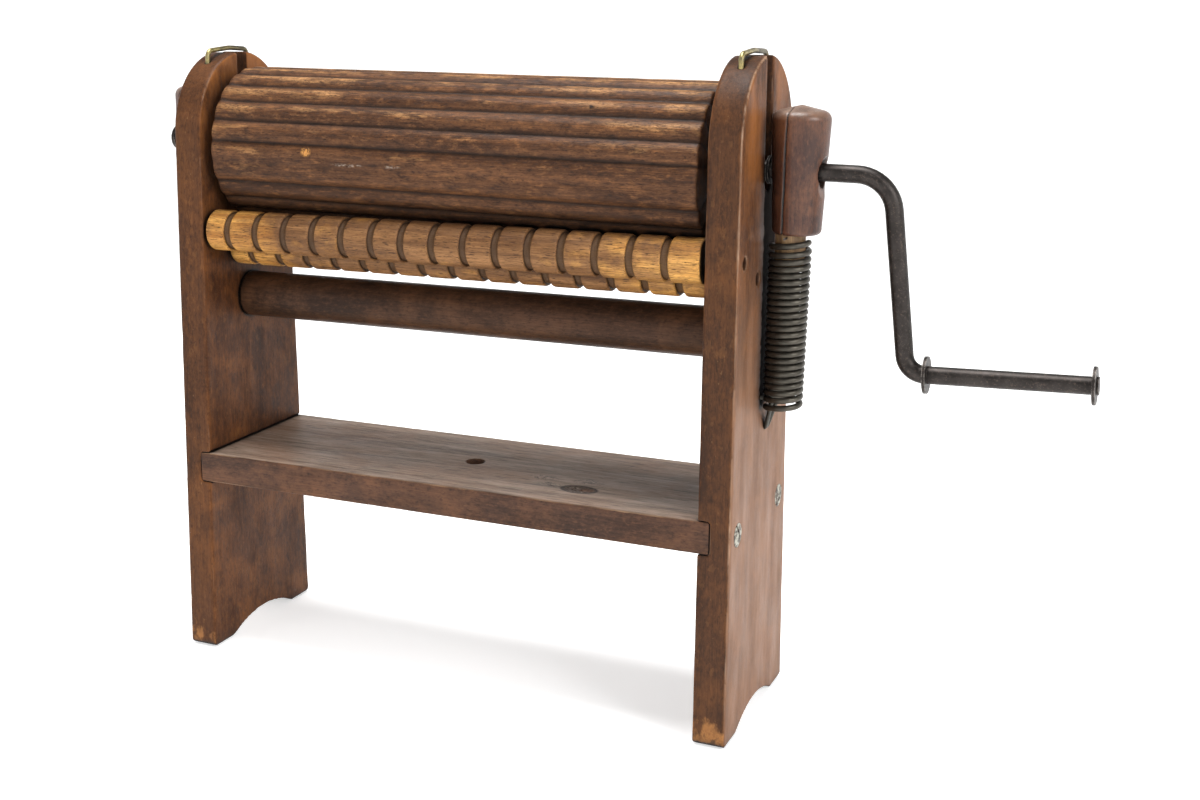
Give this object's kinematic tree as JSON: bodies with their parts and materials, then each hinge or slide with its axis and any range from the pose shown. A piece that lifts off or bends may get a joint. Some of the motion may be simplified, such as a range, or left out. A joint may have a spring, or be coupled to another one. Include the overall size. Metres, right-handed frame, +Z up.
{
  "type": "hand-cranked fluted roller machine",
  "caption": "Small bench machine: a cranked fluted wooden drum rolls in a curved bed of ringed rollers, held down by two coil springs between slotted end boards.",
  "frame": {"origin": "middle of the base of the whole machine, crank included, on the floor plane", "axes": "+X along the drum towards the crank, -Y the front, +Z up"},
  "size_m": [0.663, 0.131, 0.4442],
  "materials": {
    "board_wood": "old dark varnish, worn to bare wood on the edges",
    "shelf_wood": "weathered, grey-brown on top",
    "drum_wood": "worn varnish, pale on the crests",
    "roller_wood": "worn, golden at the ends",
    "block_wood": "dark varnish, cracked",
    "peg_wood": "bare",
    "rod_iron": "dark, lightly rusted",
    "spring_steel": "dark, tarnished",
    "fastening_iron": "dull, lightly rusted",
    "keeper_brass": "tarnished"
  },
  "bodies": {
    "frame": {"left_end_board": "board_wood", "right_end_board": "board_wood", "shelf": "shelf_wood", "stretcher": "board_wood", "left_shelf_screws": "fastening_iron", "right_shelf_screws": "fastening_iron", "left_axle_keeper": "keeper_brass", "right_axle_keeper": "keeper_brass", "left_spring": "spring_steel", "right_spring": "spring_steel", "left_spring_staple": "fastening_iron", "right_spring_staple": "fastening_iron"},
    "pressure_carriage": {"left_bearing_block": "block_wood", "right_bearing_block": "block_wood", "left_spring_peg": "peg_wood", "right_spring_peg": "peg_wood", "left_spring_nail": "fastening_iron", "right_spring_nail": "fastening_iron", "left_thrust_washer": "fastening_iron", "right_thrust_washer": "fastening_iron"},
    "drum_and_crank": {"fluted_drum": "drum_wood", "crank_axle": "rod_iron", "drum_drive_pins": "fastening_iron", "axle_end_collar": "rod_iron", "inner_grip_washer": "rod_iron", "outer_grip_washer": "rod_iron"},
    "bed_roller_1": {"ringed_roller_1": "roller_wood", "roller_gudgeons_1": "fastening_iron"},
    "bed_roller_2": {"ringed_roller_2": "roller_wood", "roller_gudgeons_2": "fastening_iron"},
    "bed_roller_3": {"ringed_roller_3": "roller_wood", "roller_gudgeons_3": "fastening_iron"},
    "bed_roller_4": {"ringed_roller_4": "roller_wood", "roller_gudgeons_4": "fastening_iron"}
  },
  "joints": [
    {"name": "carriage_rise", "type": "slide", "parent": "frame", "child": "pressure_carriage", "axis": [0, 0, 1], "range_m": [0, 0.059], "stiffness_N_per_m": 5000, "springref_m": -0.01, "deforming": ["left_spring", "right_spring"]},
    {"name": "drum_spin", "type": "hinge", "parent": "pressure_carriage", "child": "drum_and_crank", "pos_m": [-0.0824, 0, 0.3719], "axis": [0.9999, 0, -0.0166], "continuous": true},
    {"name": "bed_roller_1_spin", "type": "hinge", "parent": "frame", "child": "bed_roller_1", "pos_m": [-0.0824, -0.04393, 0.31468], "axis": [1, 0, 0], "continuous": true},
    {"name": "bed_roller_2_spin", "type": "hinge", "parent": "frame", "child": "bed_roller_2", "pos_m": [-0.0824, -0.01575, 0.30063], "axis": [1, 0, 0], "continuous": true},
    {"name": "bed_roller_3_spin", "type": "hinge", "parent": "frame", "child": "bed_roller_3", "pos_m": [-0.0824, 0.01575, 0.30063], "axis": [1, 0, 0], "continuous": true},
    {"name": "bed_roller_4_spin", "type": "hinge", "parent": "frame", "child": "bed_roller_4", "pos_m": [-0.0824, 0.04393, 0.31468], "axis": [1, 0, 0], "continuous": true}
  ],
  "couplings": [
    {"joint": "bed_roller_1_spin", "follows": "drum_spin", "ratio": -3.6333},
    {"joint": "bed_roller_2_spin", "follows": "drum_spin", "ratio": -3.6333},
    {"joint": "bed_roller_3_spin", "follows": "drum_spin", "ratio": -3.6333},
    {"joint": "bed_roller_4_spin", "follows": "drum_spin", "ratio": -3.6333}
  ]
}
